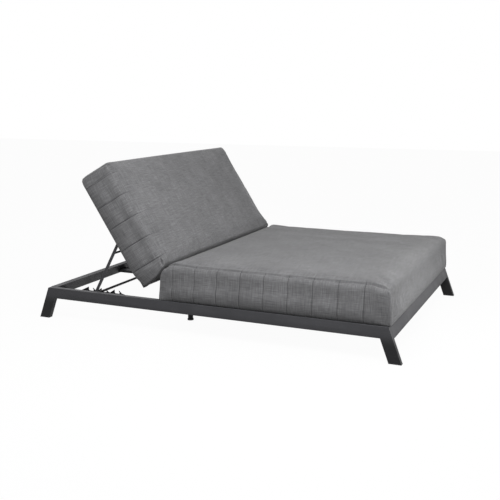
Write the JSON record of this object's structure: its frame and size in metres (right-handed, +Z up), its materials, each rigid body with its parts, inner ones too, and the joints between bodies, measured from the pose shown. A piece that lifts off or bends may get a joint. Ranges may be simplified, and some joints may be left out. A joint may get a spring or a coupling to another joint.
{
  "type": "double chaise lounger",
  "caption": "Low double-width outdoor lounger: a splayed-leg metal frame, a hinged back on a folding prop with notched racks, and two thick cushions.",
  "frame": {"origin": "on the floor under the middle of the frame", "axes": "+Z up, +X from the head to the foot, +Y across the width"},
  "size_m": [2.1372, 1.498, 0.9281],
  "materials": {
    "frame_metal": "satin",
    "black_steel": "satin",
    "fastener_steel": "brushed",
    "black_plastic": "matte",
    "cushion_fabric": "woven"
  },
  "bodies": {
    "base_frame": {"centre_beam_foot": "frame_metal", "centre_beam_head": "frame_metal", "foot_rail": "frame_metal", "glide_foot_far": "black_plastic", "glide_foot_near": "black_plastic", "glide_head_far": "black_plastic", "glide_head_near": "black_plastic", "head_rail": "frame_metal", "hinge_pin_far": "fastener_steel", "hinge_pin_near": "fastener_steel", "hinge_plates_far": "black_steel", "hinge_plates_near": "black_steel", "leg_foot_far": "frame_metal", "leg_foot_near": "frame_metal", "leg_head_far": "frame_metal", "leg_head_near": "frame_metal", "mid_cross_rail": "frame_metal", "rack_carrier_far": "frame_metal", "rack_carrier_near": "frame_metal", "rack_far": "black_steel", "rack_near": "black_steel", "rack_screws": "fastener_steel", "seat_cushion": "cushion_fabric", "seat_slat_1": "frame_metal", "seat_slat_2": "frame_metal", "seat_slat_3": "frame_metal", "seat_slat_4": "frame_metal", "seat_slat_5": "frame_metal", "seat_slat_6": "frame_metal", "seat_slat_7": "frame_metal", "seat_slat_8": "frame_metal", "seat_slat_9": "frame_metal", "side_rail_far": "frame_metal", "side_rail_near": "frame_metal", "slat_ledges": "frame_metal", "support_foot_far": "black_plastic", "support_foot_near": "black_plastic", "support_leg_far": "frame_metal", "support_leg_near": "frame_metal"},
    "back_frame": {"back_slats_lower": "frame_metal", "back_slats_upper": "frame_metal", "back_tube_lower": "frame_metal", "back_tube_middle": "frame_metal", "back_tube_upper": "frame_metal", "hinge_arm_far": "black_steel", "hinge_arm_near": "black_steel", "hinge_bush_far": "black_plastic", "hinge_bush_near": "black_plastic", "prop_brackets": "black_steel", "prop_pins": "fastener_steel", "stile_end_caps": "black_plastic", "stile_far": "frame_metal", "stile_near": "frame_metal"},
    "back_cushion": {"back_cushion": "cushion_fabric"},
    "prop": {"prop_lower_bar": "black_steel", "prop_strut_far": "frame_metal", "prop_strut_near": "frame_metal", "prop_upper_bar": "black_steel", "prop_washers": "black_plastic"}
  },
  "joints": [
    {"name": "back_recline", "type": "hinge", "parent": "base_frame", "child": "back_frame", "pos_m": [-0.3311, 0, 0.1736], "axis": [0, 1, 0], "range_deg": [-57.2, 0]},
    {"name": "cushion_shift", "type": "slide", "parent": "back_frame", "child": "back_cushion", "axis": [-0.5417, 0, 0.8406], "range_m": [-0.1275, 0]},
    {"name": "prop_fold", "type": "hinge", "parent": "back_frame", "child": "prop", "pos_m": [-0.54837, 0, 0.47935], "axis": [0, 1, 0], "range_deg": [-61.2, 0]}
  ],
  "couplings": [
    {"joint": "cushion_shift", "follows": "back_recline", "m_per_rad": 0.1268},
    {"joint": "prop_fold", "follows": "back_recline", "ratio": 1.0684}
  ]
}
